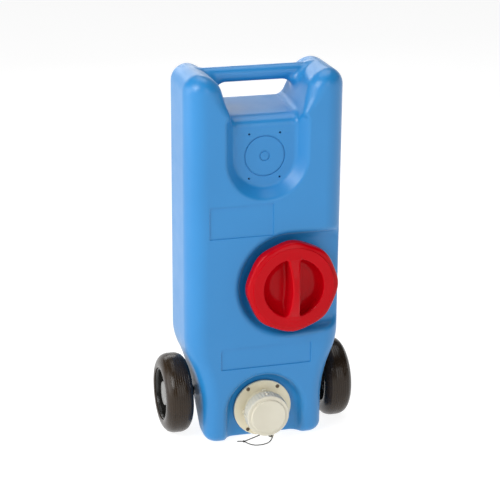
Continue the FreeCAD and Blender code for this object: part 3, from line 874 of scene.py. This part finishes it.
def tab_loop():
    """Two loops of the cord through the hole of the outlet cap's tab, round its tip and its side."""
    hole = Vector((tab_hole_place * math.cos(tab_angle), front_y + tab_place,
                   outlet_z + tab_hole_place * math.sin(tab_angle)))
    steps = 32
    half_out = 0.0026
    half_deep = 0.0031
    points = []
    for step in range(2 * steps + 1):
        turn = math.tau * step / steps
        heading = tab_angle if step < steps else tab_angle - math.radians(95)
        out = Vector((math.cos(heading), 0, math.sin(heading)))
        place = hole + out * half_out * (1 - math.cos(turn))
        points.append(place + Vector((0, half_deep, 0)) * math.sin(turn))
    return braided_tube("tab_loop", points, 0.0009, 12)


# Materials

def plain_material(name, colour, roughness):
    made = bpy.data.materials.new(name)
    made.use_nodes = True
    shader = made.node_tree.nodes["Principled BSDF"]
    shader.inputs["Base Color"].default_value = (*colour, 1)
    shader.inputs["Roughness"].default_value = roughness
    return made


def moulded(name, dark, light, roughness, grain, grain_depth, mottle=8.0, **values):
    """Moulded material: colour mottled between two tones, uneven gloss and a fine grain."""
    made = plain_material(name, dark, roughness[0])
    tree = made.node_tree
    shader = tree.nodes["Principled BSDF"]
    for socket, value in values.items():
        shader.inputs[socket.replace("_", " ")].default_value = value
    place = tree.nodes.new("ShaderNodeTexCoord")

    def noise(scale, detail, rough=0.5):
        node = tree.nodes.new("ShaderNodeTexNoise")
        node.inputs["Scale"].default_value = scale
        node.inputs["Detail"].default_value = detail
        node.inputs["Roughness"].default_value = rough
        tree.links.new(place.outputs["Object"], node.inputs["Vector"])
        return node.outputs["Fac"]

    tones = tree.nodes.new("ShaderNodeValToRGB")
    tones.color_ramp.elements[0].position = 0.32
    tones.color_ramp.elements[1].position = 0.68
    tones.color_ramp.elements[0].color = (*dark, 1)
    tones.color_ramp.elements[1].color = (*light, 1)
    tree.links.new(noise(mottle, 4), tones.inputs["Fac"])
    tree.links.new(tones.outputs["Color"], shader.inputs["Base Color"])
    gloss = tree.nodes.new("ShaderNodeMapRange")
    gloss.inputs["From Min"].default_value = 0.3
    gloss.inputs["From Max"].default_value = 0.7
    gloss.inputs["To Min"].default_value = roughness[0]
    gloss.inputs["To Max"].default_value = roughness[1]
    tree.links.new(noise(mottle * 5, 6, 0.6), gloss.inputs["Value"])
    tree.links.new(gloss.outputs["Result"], shader.inputs["Roughness"])
    bump = tree.nodes.new("ShaderNodeBump")
    bump.inputs["Strength"].default_value = 0.35
    bump.inputs["Distance"].default_value = grain_depth
    tree.links.new(noise(grain, 3, 0.55), bump.inputs["Height"])
    tree.links.new(bump.outputs["Normal"], shader.inputs["Normal"])
    return made


tank_plastic = moulded("tank_plastic", (0.012, 0.205, 0.505), (0.016, 0.222, 0.540), (0.34, 0.42),
                       grain=900.0, grain_depth=0.00012, mottle=5.0,
                       Specular_IOR_Level=0.60, Sheen_Weight=0.30, Sheen_Roughness=0.28)
cap_plastic = moulded("cap_plastic", (0.450, 0.0001, 0.004), (0.500, 0.0002, 0.006), (0.16, 0.24),
                      grain=1200.0, grain_depth=0.00004, mottle=12.0, Specular_IOR_Level=0.13)
# Flange and outlet cap are one cream plastic. The flange's copy is painted lighter than outlet_plastic:
# painted light that makes up for the shade in the arch recess round the outlet.
flange_plastic_painted_lighter = moulded("flange_plastic_painted_lighter", (0.790, 0.715, 0.520), (0.850, 0.785, 0.595), (0.30, 0.42),
                         grain=1200.0, grain_depth=0.00005, mottle=14.0, Specular_IOR_Level=0.4)
outlet_plastic = moulded("outlet_plastic", (0.620, 0.585, 0.470), (0.690, 0.655, 0.540), (0.30, 0.42),
                         grain=1200.0, grain_depth=0.00005, mottle=14.0, Specular_IOR_Level=0.4)
seal_rubber = moulded("seal_rubber", (0.018, 0.018, 0.018), (0.030, 0.030, 0.030), (0.6, 0.75),
                      grain=2000.0, grain_depth=0.00008)
tyre_rubber = moulded("tyre_rubber", (0.0160, 0.0088, 0.0038), (0.0290, 0.0170, 0.0080), (0.20, 0.30),
                      grain=1500.0, grain_depth=0.00006, mottle=18.0, Specular_IOR_Level=0.34)
rim_plastic = moulded("rim_plastic", (0.008, 0.008, 0.007), (0.014, 0.013, 0.011), (0.22, 0.34),
                      grain=1500.0, grain_depth=0.00008, mottle=20.0)
hub_cap_plastic = moulded("hub_cap_plastic", (0.20, 0.20, 0.19), (0.27, 0.27, 0.26), (0.30, 0.40),
                          grain=1500.0, grain_depth=0.00005, mottle=20.0)
axle_steel = moulded("axle_steel", (0.48, 0.48, 0.49), (0.60, 0.60, 0.60), (0.28, 0.42),
                     grain=2500.0, grain_depth=0.00003, mottle=60.0, Metallic=1.0)
screw_steel = moulded("screw_steel", (0.110, 0.075, 0.045), (0.200, 0.150, 0.100), (0.28, 0.42),
                      grain=3000.0, grain_depth=0.00003, mottle=200.0, Metallic=0.6)
cord_nylon = moulded("cord_nylon", (0.004, 0.004, 0.004), (0.012, 0.011, 0.010), (0.5, 0.7),
                     grain=4000.0, grain_depth=0.00010, mottle=400.0, Sheen_Weight=0.1)
crimp_metal = moulded("crimp_metal", (0.020, 0.018, 0.016), (0.035, 0.032, 0.030), (0.3, 0.45),
                      grain=3000.0, grain_depth=0.00004, mottle=200.0, Metallic=0.7)


def dress(piece, body, material, slot_name, *nodes):
    """Gives a piece its material and body, and says which CAD nodes it stands for."""
    piece.data.materials.clear()
    piece.data.materials.append(material)
    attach(piece, body)
    if nodes:
        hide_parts(*nodes)
    return piece


def keep_node(name, material):
    """CAD node that stays, with a finished material."""
    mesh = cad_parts[name].data
    mesh.materials.clear()
    mesh.materials.append(material)


def build():
    dress(tank(), "tank", tank_plastic, "tank_plastic", "tank_body")
    dress(neck_thread(), "tank", tank_plastic, "tank_plastic")
    dress(filler_cap(), "filler_cap", cap_plastic, "cap_plastic", "filler_cap")
    flange = net_mesh("outlet_flange_skin", outlet_flange_field, *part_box("outlet_flange"), flange_cell)
    # The flange takes the copy of the cream plastic that is painted lighter against the shade of the
    # arch recess.
    dress(flange, "tank", flange_plastic_painted_lighter, "outlet_plastic", "outlet_flange")
    cap = net_mesh("outlet_cap_skin", outlet_cap_field, *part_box("outlet_cap"), outlet_cap_cell)
    dress(cap, "outlet_cap", outlet_plastic, "outlet_plastic", "outlet_cap")
    ring = net_mesh("tether_ring_skin", tether_ring_field, *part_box("tether_ring"), tether_cell)
    dress(ring, "outlet_cap_carrier", outlet_plastic, "outlet_plastic", "tether_ring")
    for index, head in enumerate(screw_heads()):
        dress(head, "tank", screw_steel, "screw_steel", *(["outlet_screws"] if index == 0 else []))
    for side, sign in (("left", -1), ("right", 1)):
        wheel = side + "_wheel"
        dress(tyre(side + "_tyre_skin", sign), wheel, tyre_rubber, "tyre_rubber", side + "_tyre")
        dress(rim(side + "_rim_skin", sign), wheel, rim_plastic, "rim_plastic", side + "_rim")
        dress(hub_cap(side + "_hub_cap_skin", sign), wheel, hub_cap_plastic, "hub_cap_plastic",
              side + "_hub_cap")
        keep_node(side + "_hub_bush", rim_plastic)
        keep_node(side + "_washer", axle_steel)
        keep_node(side + "_push_nut", axle_steel)
        keep_node(side + "_axle_spacer", rim_plastic)
    keep_node("axle", axle_steel)
    for name in ("filler_cap_seal", "outlet_cap_seal", "outlet_gasket"):
        keep_node(name, seal_rubber)
    keep_node("cord_crimp", crimp_metal)
    rear_points = cord_line("rear_line", rear_route)
    rear = braided_tube("rear_cord_skin", rear_points, cord_d / 2)
    dress(rear, "outlet_cap_carrier", cord_nylon, "cord_nylon", "rear_cord")
    loop = dress(tab_loop(), "outlet_cap", cord_nylon, "cord_nylon")
    front_points = cord_line("front_line", front_route)
    front = braided_tube("front_cord_skin", front_points, cord_d / 2)
    front.data.materials.append(cord_nylon)
    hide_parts("front_cord")
    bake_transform(front)


def camera():
    """Camera at the height and side that the object is seen from, about 3.1 m away."""
    data = bpy.data.cameras.new("camera")
    data.lens = 120.1
    data.sensor_width = 36
    data.clip_end = 50
    seen_from = Vector((-0.8122, tank_mid_y - 2.8009, 1.3756))
    target = Vector((-0.00955, tank_mid_y, 0.35131))
    holder = bpy.data.objects.new("camera", data)
    facing = (target - seen_from).to_track_quat("-Z", "Y").to_matrix().to_4x4()
    roll = Matrix.Rotation(math.radians(0.43), 4, "Z")
    holder.matrix_world = Matrix.Translation(seen_from) @ facing @ roll
    bpy.context.scene.collection.objects.link(holder)
    bpy.context.scene.camera = holder


def area_light(name, place, target, size, power):
    data = bpy.data.lights.new(name, "AREA")
    data.shape = "RECTANGLE"
    data.size, data.size_y = size
    data.energy = power
    light = bpy.data.objects.new(name, data)
    light.location = place
    light.rotation_euler = (Vector(target) - Vector(place)).to_track_quat("-Z", "Y").to_euler()
    bpy.context.scene.collection.objects.link(light)


def studio_world():
    """Soft surroundings, brighter on the left and behind than in front and on the right."""
    world = bpy.data.worlds.new("studio")
    world.use_nodes = True
    tree = world.node_tree
    place = tree.nodes.new("ShaderNodeTexCoord")
    across = tree.nodes.new("ShaderNodeVectorMath")
    across.operation = "DOT_PRODUCT"
    across.inputs[1].default_value = Vector((-0.45, 0.85, 0.25)).normalized()
    tree.links.new(place.outputs["Generated"], across.inputs[0])
    level = tree.nodes.new("ShaderNodeMapRange")
    level.inputs["From Min"].default_value = -1.0
    level.inputs["From Max"].default_value = 0.8
    level.inputs["To Min"].default_value = 0.15
    level.inputs["To Max"].default_value = 2.80
    tree.links.new(across.outputs["Value"], level.inputs["Value"])
    tree.links.new(level.outputs["Result"], tree.nodes["Background"].inputs["Strength"])
    bpy.context.scene.world = world


def studio():
    """Pale floor with low far sides, and five lights."""
    studio_world()
    bpy.context.scene.view_settings.view_transform = "Standard"
    mesh = bpy.data.meshes.new("floor")
    span = 60.0
    side_height = 14.0
    corners = [(-span, -span), (span, -span), (span, span), (-span, span)]
    points = [(x, y, z) for z in (0, side_height) for x, y in corners]
    sides = [(index, (index + 1) % 4, (index + 1) % 4 + 4, index + 4) for index in range(4)]
    mesh.from_pydata(points, [], [(0, 1, 2, 3)] + sides)
    floor = bpy.data.objects.new("floor", mesh)
    white = plain_material("floor_white", (0.30, 0.30, 0.30), 0.7)
    shader = white.node_tree.nodes["Principled BSDF"]
    shader.inputs["Specular IOR Level"].default_value = 0.0
    shader.inputs["Emission Color"].default_value = (1, 1, 1, 1)
    shader.inputs["Emission Strength"].default_value = 0.88
    floor.data.materials.append(white)
    bpy.context.scene.collection.objects.link(floor)
    area_light("key", (-2.6, -1.5, 2.5), (0, 0, 0.35), (1.8, 1.8), power=86)
    area_light("left", (-3.0, 0.3, 0.9), (0, 0, 0.35), (1.8, 1.8), power=24)
    area_light("top", (0.2, 0.6, 2.8), (0, 0, 0.3), (2.0, 2.0), power=28)
    area_light("back", (-0.2, 2.6, 1.5), (0, 0, 0.6), (2.2, 0.6), power=16)
    area_light("fill", (0.6, -3.4, 1.9), (0, 0, 0.35), (2.0, 2.0), power=24)


build()
camera()
studio()
